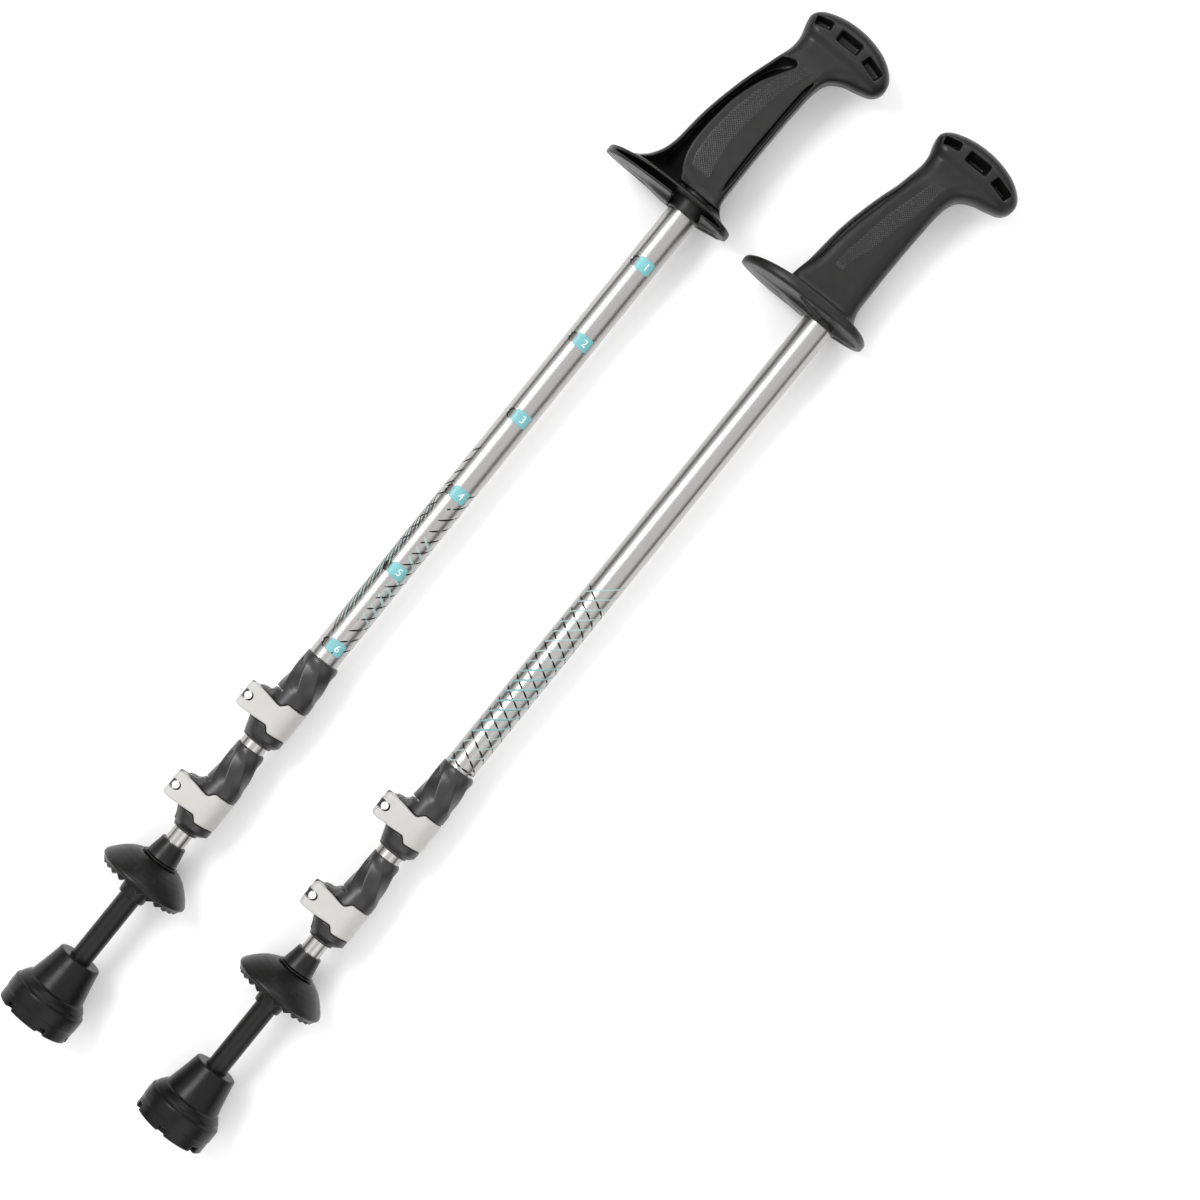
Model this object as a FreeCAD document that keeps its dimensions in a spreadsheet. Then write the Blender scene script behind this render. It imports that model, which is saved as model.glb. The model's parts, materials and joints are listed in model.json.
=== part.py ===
import FreeCAD, Part
import math
import os
import Sketcher
from FreeCAD import Placement, Rotation, Vector

# A pair of three-section trekking poles with T-shaped handles, lying side by side.
# Every pole is drawn along +X from the sole of its rubber boot (x = 0), with y across
# the pole and z up from its axis. A placement then moves the piece to its own pole.

DOCUMENT = FreeCAD.newDocument("TrekkingPoles")
SHEET = DOCUMENT.addObject("Spreadsheet::Sheet", "Sizes")

# Driving dimensions, in millimetres and degrees.
SIZES = {
    # whole pole
    "pole_length": 708.0,
    "pole_spacing": 96.0,
    "axis_height": 27.5,
    # telescoping tubes
    "upper_radius": 9.0,
    "upper_wall": 1.0,
    "upper_end": 600.0,
    "middle_radius": 7.5,
    "middle_wall": 0.9,
    "middle_end": 556.0,
    "lower_radius": 6.0,
    "lower_wall": 0.9,
    "lower_begin": 92.0,
    "lower_end": 500.0,
    "bush_gap": 0.06,
    "bush_spigot": 6.0,
    "bush_head": 10.0,
    # row of adjustment holes
    "hole_begin": 262.9,
    "hole_pitch": 53.72,
    "hole_count": 6,
    "hole_radius": 3.1,
    "hole_tilt": 29.0,
    # spring button
    "button_place": 541.5,
    "button_radius": 2.8,
    "button_flange": 3.6,
    "button_top": 7.9,
    "strip_width": 5.0,
    "strip_thick": 0.5,
    "strip_top": 4.4,
    "strip_bottom": 6.0,
    # flip-lock clamps
    "lower_clamp_begin": 132.6,
    "upper_clamp_begin": 195.5,
    "clamp_length": 58.3,
    "clamp_lip": 7.3,
    "clamp_flange": 12.6,
    "clamp_waist": 9.8,
    "lever_centre": 18.2,
    "lever_width": 19.0,
    "ring_slot_begin": 30.6,
    "ring_slot_width": 1.4,
    "slit_width": 1.2,
    "ear_thick": 4.1,
    "screw_offset": 18.8,
    "screw_radius": 2.15,
    "screw_top": 10.6,
    "screw_bottom": 11.4,
    "pin_height": 8.6,
    "pin_radius": 1.1,
    "eye_radius": 4.2,
    "lever_outer": 12.8,
    "lever_inner": 10.1,
    "lever_wrap": 20.0,
    "fork_width": 15.8,
    "notch_width": 5.3,
    "nut_radius": 4.6,
    "nut_height": 5.0,
    "turn_gap": 0.05,
    "rub_gap": 0.3,
    # tip, basket and boot
    "shank_radius": 6.3,
    "thread_radius": 7.2,
    "shank_begin": 17.0,
    "shank_end": 122.0,
    "basket_begin": 85.5,
    "basket_rim": 27.5,
    "basket_rim_place": 97.4,
    "basket_end": 112.6,
    "basket_teeth": 36,
    "ring_begin": 112.9,
    "ring_end": 123.8,
    "boot_rim": 22.3,
    "boot_cone_end": 42.0,
    "boot_notches": 6,
    "washer_place": 9.5,
    "washer_thick": 1.5,
    "carbide_radius": 2.2,
    # handle
    "collar_radius": 10.5,
    "collar_begin": 567.5,
    "collar_end": 583.0,
    "ledge_begin": 569.5,
    "ledge_thick": 6.5,
    "ledge_reach": 55.0,
    "head_reach": 44.0,
    "grip_depth": 12.0,
    "grip_round": 6.0,
    "pad_sink": 1.5,
    "pad_proud": 1.0,
    "cavity_depth": 18.0,
    "slit_depth": 2.0,
    "recess_depth": 8.0,
    "recess_width": 5.5,
}

POLES = {"left": 1, "right": -1}


def fill_sheet():
    """Write every driving dimension to the sheet under its own alias."""
    for row, (alias, value) in enumerate(SIZES.items(), start=1):
        SHEET.set(f"A{row}", alias)
        SHEET.set(f"B{row}", str(value))
        SHEET.setAlias(f"B{row}", alias)
    DOCUMENT.recompute()


def bound(text):
    """Turn plain words such as 'pole_length - 3' into an expression on the sheet."""
    words = sorted(SIZES, key=len, reverse=True)
    result = ""
    place = 0
    while place < len(text):
        match = next((word for word in words if text.startswith(word, place)), None)
        if match and not (place and (text[place - 1].isalnum() or text[place - 1] == "_")):
            result += "Sizes." + match
            place += len(match)
        else:
            result += text[place]
            place += 1
    return result


def size(text):
    """Value now of an expression on the sheet."""
    return float(SHEET.evalExpression(bound(text)))


# ---------------------------------------------------------------- sketch helpers


def new_piece(name):
    """An empty PartDesign body that becomes one sub-part."""
    body = DOCUMENT.addObject("PartDesign::Body", name)
    body.Label = name
    return body


def new_sketch(body, name, plane, along="0", tilt="0"):
    """Sketch on one of the body's origin planes, moved and tilted about its own X."""
    sketch = body.newObject("Sketcher::SketchObject", f"{body.Name}_{name}")
    origin = [item for item in body.Origin.OriginFeatures if item.Role == plane][0]
    sketch.AttachmentSupport = [(origin, "")]
    sketch.MapMode = "FlatFace"
    sketch.AttachmentOffset = Placement(Vector(), Rotation(Vector(1, 0, 0), size(tilt)))
    side = "z" if plane == "YZ_Plane" else "x"
    sketch.setExpression(f"AttachmentOffset.Base.{side}", bound(along))
    if tilt != "0":
        sketch.setExpression("AttachmentOffset.Rotation.Angle", bound(tilt))
    return sketch


def fix_point(sketch, edge, end, point):
    """Tie one end of an edge to a place given by two expressions."""
    for kind, text, value in (
        ("DistanceX", point[0], size(point[0])),
        ("DistanceY", point[1], size(point[1])),
    ):
        index = sketch.addConstraint(Sketcher.Constraint(kind, -1, 1, edge, end, value))
        sketch.setExpression(f"Constraints[{index}]", bound(text))


def add_loop(sketch, corners):
    """
    Closed outline. A corner is (x, y) for a line to the next corner, or (x, y, radius)
    for an arc to it. A positive radius bends to the right of the way walked.
    """
    points = [Vector(size(c[0]), size(c[1]), 0) for c in corners]
    first = sketch.GeometryCount
    ends = []
    for number, corner in enumerate(corners):
        start = points[number]
        finish = points[(number + 1) % len(points)]
        if len(corner) == 2:
            edge = sketch.addGeometry(Part.LineSegment(start, finish), False)
        else:
            radius = size(corner[2])
            half = (finish - start) * 0.5
            rise = math.sqrt(max(radius * radius - half.Length ** 2, 0.0))
            across = Vector(half.y, -half.x, 0).normalize() * math.copysign(1, radius)
            crest = start + half + across * (abs(radius) - rise)
            edge = sketch.addGeometry(Part.Arc(start, crest, finish), False)
        begins = (sketch.getPoint(edge, 1) - start).Length < 1e-6
        ends.append((edge, 1 if begins else 2, 2 if begins else 1))
    for number, (edge, begin, _) in enumerate(ends):
        before = ends[number - 1]
        sketch.addConstraint(Sketcher.Constraint("Coincident", before[0], before[2], edge, begin))
        fix_point(sketch, edge, begin, corners[number])
    for number, corner in enumerate(corners):
        if len(corner) == 3:
            index = sketch.addConstraint(
                Sketcher.Constraint("Radius", first + number, abs(size(corner[2])))
            )
            sketch.setExpression(f"Constraints[{index}]", bound(f"abs({corner[2]})"))
    return sketch


def add_circle(sketch, across, up, radius):
    """Circle with its centre and radius bound to the sheet."""
    centre = Vector(size(across), size(up), 0)
    edge = sketch.addGeometry(Part.Circle(centre, Vector(0, 0, 1), size(radius)), False)
    fix_point(sketch, edge, 3, (across, up))
    index = sketch.addConstraint(Sketcher.Constraint("Radius", edge, size(radius)))
    sketch.setExpression(f"Constraints[{index}]", bound(radius))
    return sketch


def turned(body, name, corners, plane="XY_Plane", axis="H_Axis", along="0", tilt="0"):
    """Solid of revolution about the sketch's own axis."""
    sketch = add_loop(new_sketch(body, name, plane, along, tilt), corners)
    feature = body.newObject("PartDesign::Revolution", f"{sketch.Name}_turn")
    feature.Profile = sketch
    feature.ReferenceAxis = (sketch, [axis])
    feature.Angle = 360
    return feature


def grown(body, sketch, length, both_ways=False, backwards=False):
    """Pad of a sketch."""
    feature = body.newObject("PartDesign::Pad", f"{sketch.Name}_pad")
    feature.Profile = sketch
    feature.setExpression("Length", bound(length))
    feature.SideType = "Symmetric" if both_ways else "One side"
    feature.Reversed = backwards
    return feature


def cut(body, sketch, length, both_ways=False, along_normal=True):
    """Pocket of a sketch, by default in the direction of the sketch's normal."""
    feature = body.newObject("PartDesign::Pocket", f"{sketch.Name}_cut")
    feature.Profile = sketch
    feature.setExpression("Length", bound(length))
    feature.SideType = "Symmetric" if both_ways else "One side"
    feature.Reversed = along_normal
    return feature


def repeated_round(body, feature, sketch, count):
    """Polar pattern of a feature about the pole's axis."""
    pattern = body.newObject("PartDesign::PolarPattern", f"{feature.Name}_round")
    pattern.Originals = [feature]
    pattern.Axis = (sketch, ["H_Axis"])
    pattern.Angle = 360
    pattern.Occurrences = int(size(count))
    body.Tip = pattern
    return pattern


def tube_profile(begin, end, inner, outer):
    """Rectangle that revolves into a plain tube."""
    return [(begin, inner), (end, inner), (end, outer), (begin, outer)]


# ---------------------------------------------------------------- tubes


def upper_tube(name, hole_side):
    """Outermost tube with its row of numbered adjustment holes."""
    body = new_piece(name)
    begin = "upper_clamp_begin + ring_slot_begin + ring_slot_width + 1"
    turned(body, "wall", tube_profile(begin, "upper_end", "upper_radius - upper_wall", "upper_radius"))
    sketch = new_sketch(body, "hole", "XY_Plane", "0", hole_side)
    add_circle(sketch, "hole_begin", "0", "hole_radius")
    hole = cut(body, sketch, "upper_radius + 2")
    row = body.newObject("PartDesign::LinearPattern", f"{name}_row")
    row.Originals = [hole]
    row.Direction = (sketch, ["H_Axis"])
    row.Occurrences = int(size("hole_count"))
    row.setExpression("Length", bound("hole_pitch * (hole_count - 1)"))
    body.Tip = row
    return body


def middle_tube(name, hole_side):
    """Middle tube with the hole that the spring button stands in."""
    body = new_piece(name)
    begin = "lower_clamp_begin + ring_slot_begin + ring_slot_width + 1"
    wall = tube_profile(begin, "middle_end", "middle_radius - middle_wall", "middle_radius")
    turned(body, "wall", wall)
    sketch = new_sketch(body, "hole", "XY_Plane", "0", hole_side)
    add_circle(sketch, "button_place", "0", "button_radius + turn_gap")
    cut(body, sketch, "middle_radius + 2")
    return body


def lower_tube(name):
    """Thinnest tube, plain."""
    body = new_piece(name)
    wall = tube_profile("lower_begin", "lower_end", "lower_radius - lower_wall", "lower_radius")
    turned(body, "wall", wall)
    return body


def guide_bush(name, tube_end, tube_bore, outer_bore):
    """Plastic bush: a spigot inside the sliding tube and a head that runs in the next tube."""
    body = new_piece(name)
    head = f"{outer_bore} - bush_gap"
    turned(body, "bush", [
        (f"{tube_end} - bush_spigot", f"{tube_bore} - 1.6"),
        (f"{tube_end} + bush_head", f"{tube_bore} - 1.6"),
        (f"{tube_end} + bush_head", f"{head} - 0.8"),
        (f"{tube_end} + bush_head - 0.8", head),
        (tube_end, head),
        (tube_end, tube_bore),
        (f"{tube_end} - bush_spigot", tube_bore),
    ])
    return body


def tube_plug(name):
    """Plug that closes the upper tube's end inside the handle."""
    body = new_piece(name)
    bore = "upper_radius - upper_wall"
    turned(body, "plug", [
        ("upper_end - 12", "0"), ("upper_end + 2", "0"), ("upper_end + 2", "upper_radius"),
        ("upper_end", "upper_radius"), ("upper_end", bore), ("upper_end - 12", bore),
    ])
    return body


# ---------------------------------------------------------------- spring button


def snap_button(name, hole_side):
    """Domed button with a flange that stops it inside the middle tube."""
    body = new_piece(name)
    turned(body, "button", [
        ("0", "4.4"), ("button_flange", "4.4"), ("button_flange", "5.4"), ("button_radius", "5.4"),
        ("button_radius", "button_top - 1.3", "3"), ("0.8", "button_top"), ("0", "button_top"),
    ], "XZ_Plane", "V_Axis", "button_place", hole_side)
    return body


def button_spring(name, hole_side):
    """Hairpin strip: one leg under the button, the other on the far wall."""
    body = new_piece(name)
    sketch = new_sketch(body, "strip", "XZ_Plane", "button_place", hole_side)
    outer = "(strip_top + strip_bottom) / 2"
    inner = f"({outer} - strip_thick)"
    middle = "(strip_top - strip_bottom) / 2"
    add_loop(sketch, [
        ("6", "strip_top"), ("-18", "strip_top", outer), (f"-18 - {outer}", middle, outer),
        ("-18", "-strip_bottom"), ("6", "-strip_bottom"), ("6", "-strip_bottom + strip_thick"),
        ("-18", "-strip_bottom + strip_thick", f"-{inner}"), (f"-18 - {inner}", middle, f"-{inner}"),
        ("-18", "strip_top - strip_thick"), ("6", "strip_top - strip_thick"),
    ])
    grown(body, sketch, "strip_width", both_ways=True)
    return body


# ---------------------------------------------------------------- flip-lock clamps


def clamp_body(name, begin, tube_in, tube_out):
    """
    Plastic clamp: it is fixed on the thicker tube by its sleeve, and the slit and the
    ring slot let its nose close on the thinner tube when the lever pulls the ears together.
    """
    body = new_piece(name)
    slot = f"{begin} + ring_slot_begin"
    step = f"{slot} + ring_slot_width + 1"
    end = f"{begin} + clamp_length"
    bore = f"{tube_in} + turn_gap"
    waist_begin = f"{begin} + lever_centre - lever_width / 2 - rub_gap"
    waist_end = f"{begin} + lever_centre + lever_width / 2 + rub_gap"
    outline = [
        (begin, bore), (step, bore), (step, tube_out), (end, tube_out), (end, f"{tube_out} + 0.9"),
        (f"{end} - 1", f"{tube_out} + 1.7"), (f"{slot} + 4", "clamp_flange - 0.8"),
        (waist_end, "clamp_flange"), (waist_end, "clamp_waist"), (waist_begin, "clamp_waist"),
        (waist_begin, "clamp_flange"), (f"{begin} + 4.6", "clamp_flange - 0.2"),
        (f"{begin} + 2", f"{tube_in} + 1.6"), (begin, f"{tube_in} + 1.4"),
    ]
    turned(body, "sleeve", outline)

    ears = new_sketch(body, "ears", "YZ_Plane", waist_begin)
    add_loop(ears, [
        ("clamp_waist - 1.2", "-ear_thick"), ("screw_offset", "-ear_thick", "ear_thick"),
        ("screw_offset + ear_thick", "0", "ear_thick"), ("screw_offset", "ear_thick"),
        ("clamp_waist - 1.2", "ear_thick"),
    ])
    grown(body, ears, f"{slot} - ({waist_begin})")

    cheek = new_sketch(body, "cheek", "YZ_Plane", waist_end)
    add_loop(cheek, [
        ("clamp_waist - 2", "-8"), ("17", "-6.5", "6.8"), ("17", "6.5"), ("clamp_waist - 2", "8"),
    ])
    grown(body, cheek, f"{slot} - ({waist_end})")

    slit = new_sketch(body, "slit", "XY_Plane")
    add_loop(slit, [(f"{begin} - 1", "0"), (slot, "0"), (slot, "40"), (f"{begin} - 1", "40")])
    cut(body, slit, "slit_width", both_ways=True)

    ring = new_sketch(body, "ring", "XY_Plane")
    ring_end = f"{slot} + ring_slot_width"
    add_loop(ring, [(slot, "5.5"), (ring_end, "5.5"), (ring_end, "40"), (slot, "40")])
    cut(body, ring, "60", both_ways=True)

    hole = new_sketch(body, "hole", "XY_Plane")
    add_circle(hole, f"{begin} + lever_centre", "screw_offset", "screw_radius")
    cut(body, hole, "60", both_ways=True)
    return body


def clamp_lever(name, begin):
    """Forked cam lever that hooks over the clamp and wraps round its far side."""
    body = new_piece(name)
    centre = f"{begin} + lever_centre"
    wrap_y = "cos(lever_wrap) * "
    wrap_z = "sin(lever_wrap) * "
    flat = "sqrt(eye_radius ^ 2 - (lever_inner - pin_height) ^ 2)"
    section = new_sketch(body, "section", "YZ_Plane", f"{centre} - lever_width / 2")
    add_loop(section, [
        ("screw_offset", "pin_height + eye_radius"),
        ("0", "lever_outer", "lever_outer"),
        (f"-{wrap_y}lever_outer", f"-{wrap_z}lever_outer"),
        (f"-{wrap_y}lever_inner", f"-{wrap_z}lever_inner", "-lever_inner"),
        ("0", "lever_inner"),
        (f"screw_offset - {flat}", "lever_inner", "eye_radius"),
        ("screw_offset", "pin_height - eye_radius", "eye_radius"),
        ("screw_offset + eye_radius", "pin_height", "eye_radius"),
    ])
    grown(body, section, "lever_width")

    notch = new_sketch(body, "notch", "XY_Plane")
    left = f"{centre} - notch_width / 2"
    right = f"{centre} + notch_width / 2"
    bottom = "screw_offset - 0.6"
    add_loop(notch, [
        (left, "40"), (left, bottom, "notch_width / 2"),
        (centre, f"{bottom} - notch_width / 2", "notch_width / 2"),
        (right, bottom), (right, "40"),
    ])
    cut(body, notch, "60", both_ways=True)

    for side in ("-", "+"):
        flank = new_sketch(body, "flank_" + ("a" if side == "-" else "b"), "XY_Plane")
        add_loop(flank, [
            (f"{centre} {side} 12", "40"), (f"{centre} {side} fork_width / 2", "40"),
            (f"{centre} {side} fork_width / 2", "12"), (f"{centre} {side} 6.2", "4.5"),
            (f"{centre} {side} 6.2", "2.6"), (f"{centre} {side} 9.3", "-2.4"),
            (f"{centre} {side} 12", "-2.4"),
        ])
        cut(body, flank, "60", both_ways=True)

    hole = new_sketch(body, "hole", "YZ_Plane", f"{centre} - lever_width / 2 - 1")
    add_circle(hole, "screw_offset", "pin_height", "pin_radius + turn_gap")
    cut(body, hole, "lever_width + 2")
    return body


def lever_pin(name, begin):
    """Pivot pin across the lever's fork, through the tension screw's head."""
    body = new_piece(name)
    sketch = new_sketch(body, "pin", "YZ_Plane", f"{begin} + lever_centre - fork_width / 2")
    add_circle(sketch, "screw_offset", "pin_height", "pin_radius")
    grown(body, sketch, "fork_width")
    return body


def tension_screw(name, begin):
    """Screw that ties the ears to the pin."""
    body = new_piece(name)
    sketch = new_sketch(body, "shank", "XY_Plane")
    add_circle(sketch, f"{begin} + lever_centre", "screw_offset", "screw_radius")
    grown(body, sketch, "screw_top")
    grown(body, sketch, "screw_bottom", backwards=True)
    hole = new_sketch(body, "hole", "YZ_Plane", f"{begin} + lever_centre - 10")
    add_circle(hole, "screw_offset", "pin_height", "pin_radius")
    cut(body, hole, "20")
    return body


def adjusting_nut(name, begin):
    """Knurled nut under the ears that sets the clamping force."""
    body = new_piece(name)
    sketch = new_sketch(body, "nut", "XY_Plane")
    centre = f"{begin} + lever_centre"
    add_circle(sketch, centre, "screw_offset", "nut_radius")
    add_circle(sketch, centre, "screw_offset", "screw_radius + turn_gap")
    sketch.setExpression("AttachmentOffset.Base.z", bound("-ear_thick - rub_gap - nut_height"))
    grown(body, sketch, "nut_height")
    return body


# ---------------------------------------------------------------- tip, basket and boot


def tip_shank(name):
    """Plastic tip glued over the lower tube, stepped for the basket."""
    body = new_piece(name)
    turned(body, "shank", [
        ("shank_begin", "0"), ("lower_begin", "0"), ("lower_begin", "lower_radius"), ("shank_end", "lower_radius"),
        ("shank_end", "thread_radius"), ("basket_begin + 0.3", "thread_radius"),
        ("basket_begin + 0.3", "shank_radius"), ("shank_begin + 4", "shank_radius"),
        ("shank_begin", "shank_radius - 1.8"),
    ])
    hole = new_sketch(body, "hole", "YZ_Plane", "shank_begin")
    add_circle(hole, "0", "0", "carbide_radius")
    cut(body, hole, "6")
    return body


def carbide_tip(name):
    """Hard metal point pressed into the tip."""
    body = new_piece(name)
    turned(body, "point", [
        ("shank_begin - 5", "0"), ("shank_begin + 6", "0"), ("shank_begin + 6", "carbide_radius"),
        ("shank_begin - 4", "carbide_radius"), ("shank_begin - 5", "1.2"),
    ])
    return body


def basket(name):
    """Small bell-shaped basket with radial teeth under its rim."""
    body = new_piece(name)
    bore = "thread_radius + turn_gap"
    disc = turned(body, "disc", [
        ("basket_begin", bore), ("basket_begin", "8.2"), ("basket_begin + 4", "8.2"),
        ("basket_rim_place - 1.6", "basket_rim - 1.6"), ("basket_rim_place", "basket_rim"),
        ("basket_rim_place + 1", "basket_rim", "24"), ("basket_end", "11", ), ("basket_end", bore),
    ])
    gap = new_sketch(body, "gap", "XZ_Plane")
    add_loop(gap, [
        ("basket_begin - 1", "12.5"), ("basket_rim_place - 4.4", "12.5"),
        ("basket_rim_place + 0.1", "basket_rim - 1.7"), ("basket_begin - 1", "basket_rim - 1.7"),
    ])
    tooth_gap = cut(body, gap, "1.3", both_ways=True)
    repeated_round(body, tooth_gap, disc.Profile[0], "basket_teeth")
    return body


def basket_ring(name):
    """Conical ring that locks the basket on the tip."""
    body = new_piece(name)
    turned(body, "cone", [
        ("ring_begin", "thread_radius"), ("shank_end", "thread_radius"),
        ("shank_end", "lower_radius"), ("ring_end", "lower_radius"), ("ring_end", "7.6"),
        ("ring_begin", "9.7"),
    ])
    return body


def rubber_boot(name, notch_turn):
    """Bell-shaped rubber foot with a notched rim."""
    body = new_piece(name)
    bore = "shank_radius + turn_gap"
    bell = turned(body, "bell", [
        ("0", "0"), ("washer_place", "0"), ("washer_place", bore), ("boot_cone_end", bore),
        ("boot_cone_end", "12.2"), ("boot_cone_end - 0.7", "12.9"), ("21.8", "17.3"),
        ("20.6", "18.6", "-9"), ("14.6", "boot_rim"), ("1.2", "boot_rim"),
        ("0", "boot_rim - 1.2"),
    ])
    notch = new_sketch(body, "notch", "XZ_Plane", "0", notch_turn)
    add_loop(notch, [
        ("-1", "boot_rim - 4"), ("2.2", "boot_rim - 4", "-1.6"), ("3.8", "boot_rim - 2.4"),
        ("3.8", "boot_rim + 2"), ("-1", "boot_rim + 2"),
    ])
    gap = cut(body, notch, "4", both_ways=True)
    repeated_round(body, gap, bell.Profile[0], "boot_notches")
    return body


def boot_washer(name):
    """Steel washer at the bottom of the boot's socket, under the hard point."""
    body = new_piece(name)
    turned(body, "washer", [
        ("washer_place", "0"), ("washer_place + washer_thick", "0"),
        ("washer_place + washer_thick", "shank_radius"), ("washer_place", "shank_radius"),
    ])
    return body


# ---------------------------------------------------------------- handle

# Sections of the grip: place along the pole, its two sides across the pole, half depth.
GRIP_SECTIONS = [
    ("ledge_begin + 2", "-12.6", "29", "grip_depth + 0.5"),
    ("600", "-12.2", "28", "grip_depth"),
    ("636", "-12.8", "22.6", "grip_depth"),
    ("669", "-14.3", "13.2", "grip_depth"),
    ("686", "-22", "11.4", "grip_depth - 1"),
]

# Sections of the curved head: place across the pole, its two ends along it, half depth.
HEAD_SECTIONS = [
    ("14.3", "pole_length - 16", "pole_length - 8", "grip_depth - 6"),
    ("11.5", "pole_length - 26", "pole_length - 5.5", "grip_depth - 2"),
    ("5", "pole_length - 34", "pole_length - 2.6", "grip_depth"),
    ("-11", "pole_length - 38", "pole_length", "grip_depth + 1"),
    ("-20", "pole_length - 32", "pole_length - 0.7", "grip_depth + 1"),
    ("-28", "pole_length - 28.2", "pole_length - 2.6", "grip_depth + 0.5"),
    ("-35", "pole_length - 26.6", "pole_length - 5.6", "grip_depth - 1"),
    ("-39", "pole_length - 25.4", "pole_length - 8.6", "grip_depth - 3"),
    ("-head_reach", "pole_length - 21", "pole_length - 14.5", "grip_depth - 7"),
]


def lofted(body, name, plane, sections):
    """Solid through rounded rectangles, one after another."""
    sketches = []
    for number, (place, low, high, depth) in enumerate(sections):
        sketch = new_sketch(body, f"{name}_{number}", plane)
        away = place if plane == "YZ_Plane" else f"-({place})"
        sketch.setExpression("AttachmentOffset.Base.z", bound(away))
        half = (size(high) - size(low)) / 2
        corner = f"{round(0.62 * min(half, size(depth)), 2)}"
        near = f"{low} + {corner}"
        far = f"{high} - {corner}"
        edge = f"{depth} - {corner}"
        add_loop(sketch, [
            (near, f"-({depth})"), (far, f"-({depth})", corner), (high, f"-({edge})"),
            (high, edge, corner), (far, depth), (near, depth, corner), (low, edge),
            (low, f"-({edge})", corner),
        ])
        sketches.append(sketch)
    loft = body.newObject("PartDesign::AdditiveLoft", f"{body.Name}_{name}")
    loft.Profile = sketches[0]
    loft.Sections = sketches[1:]
    loft.Ruled = True
    return loft


def handle_shell(name, open_side):
    """Moulded T-shaped handle: a hand ledge, a grip and a curved head."""
    body = new_piece(name)
    lofted(body, "grip", "YZ_Plane", GRIP_SECTIONS)
    lofted(body, "head", "XZ_Plane", HEAD_SECTIONS)

    ledge = new_sketch(body, "ledge", "YZ_Plane", "ledge_begin")
    add_loop(ledge, [
        ("-4", "-axis_height"), ("24", "-axis_height", "31.2"), ("ledge_reach", "0", "31.2"),
        ("24", "axis_height"), ("-4", "axis_height", "26"), ("-27", "0", "26"),
    ])
    grown(body, ledge, "ledge_thick")

    bore = new_sketch(body, "bore", "YZ_Plane", "ledge_begin - 1")
    add_circle(bore, "0", "0", "upper_radius")
    cut(body, bore, "upper_end - ledge_begin + 3")
    seat = new_sketch(body, "seat", "YZ_Plane", "ledge_begin - 1")
    add_circle(seat, "0", "0", "collar_radius")
    cut(body, seat, "collar_end - ledge_begin + 1")

    face_cut(body, "cavity", open_side, "cavity_depth", [
        ("590", "17", "40"), ("664", "6.5"), ("671", "3"), ("672.5", "9", "-260"), ("592", "25.4"),
    ])
    face_cut(body, "slit", -open_side, "slit_depth", [
        ("592", "23.4", "150"), ("652", "11.6"), ("652", "14", "-180"), ("592", "25.4"),
    ])
    for label, side in (("pad", open_side), ("patch", -open_side)):
        face_cut(body, label, side, "pad_sink", PADS[label])
    for number, (near, back, front) in enumerate(HEAD_RECESSES):
        far = f"{near} + recess_width"
        for label, side in (("open", open_side), ("closed", -open_side)):
            face_cut(body, f"{label}_recess_{number}", side, "recess_depth", [
                (near, back), (near, front), (far, front), (far, back),
            ])
    return body


# Recesses in both faces of the head: the near end along the pole, both ends across it.
HEAD_RECESSES = [("697", "8", "0"), ("697", "-6", "-20"), ("693", "-25", "-36")]


PADS = {
    # soft pad on the open side and soft patch on the closed side
    "pad": [("586", "-8"), ("672", "-10"), ("672", "0", "75"), ("630", "13.5", "75"), ("586", "13")],
    "patch": [("590", "-7"), ("662", "-9"), ("662", "5", "120"), ("590", "18")],
}


def face_cut(body, label, side, depth, corners):
    """Recess of a given depth in the grip's upper (1) or lower (-1) flat face."""
    sketch = new_sketch(body, label, "XY_Plane")
    add_loop(sketch, corners)
    level = f"(grip_depth - {depth}) * {side}"
    sketch.setExpression("AttachmentOffset.Base.z", bound(level))
    return cut(body, sketch, f"{depth} + 20", along_normal=side > 0)


def soft_pad(name, label, side):
    """Rubber inlay that stands a little proud of the grip's face."""
    body = new_piece(name)
    sketch = new_sketch(body, "inlay", "XY_Plane")
    add_loop(sketch, PADS[label])
    sketch.setExpression("AttachmentOffset.Base.z", bound(f"(grip_depth - pad_sink) * {side}"))
    grown(body, sketch, "pad_sink + pad_proud", backwards=side < 0)
    return body


def grip_collar(name):
    """Ring between the handle and the tube."""
    body = new_piece(name)
    turned(body, "ring", [
        ("collar_begin", "upper_radius"), ("collar_end", "upper_radius"),
        ("collar_end", "collar_radius"), ("collar_begin + 0.6", "collar_radius"),
        ("collar_begin", "collar_radius - 0.6"),
    ])
    return body


# ---------------------------------------------------------------- assembly


def make_clamp(pole, section, begin, tube_in, tube_out):
    """The five pieces of one flip-lock."""
    return [
        clamp_body(f"{pole}_{section}_clamp", begin, tube_in, tube_out),
        clamp_lever(f"{pole}_{section}_lever", begin),
        lever_pin(f"{pole}_{section}_lever_pin", begin),
        tension_screw(f"{pole}_{section}_tension_screw", begin),
        adjusting_nut(f"{pole}_{section}_adjusting_nut", begin),
    ]


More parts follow.
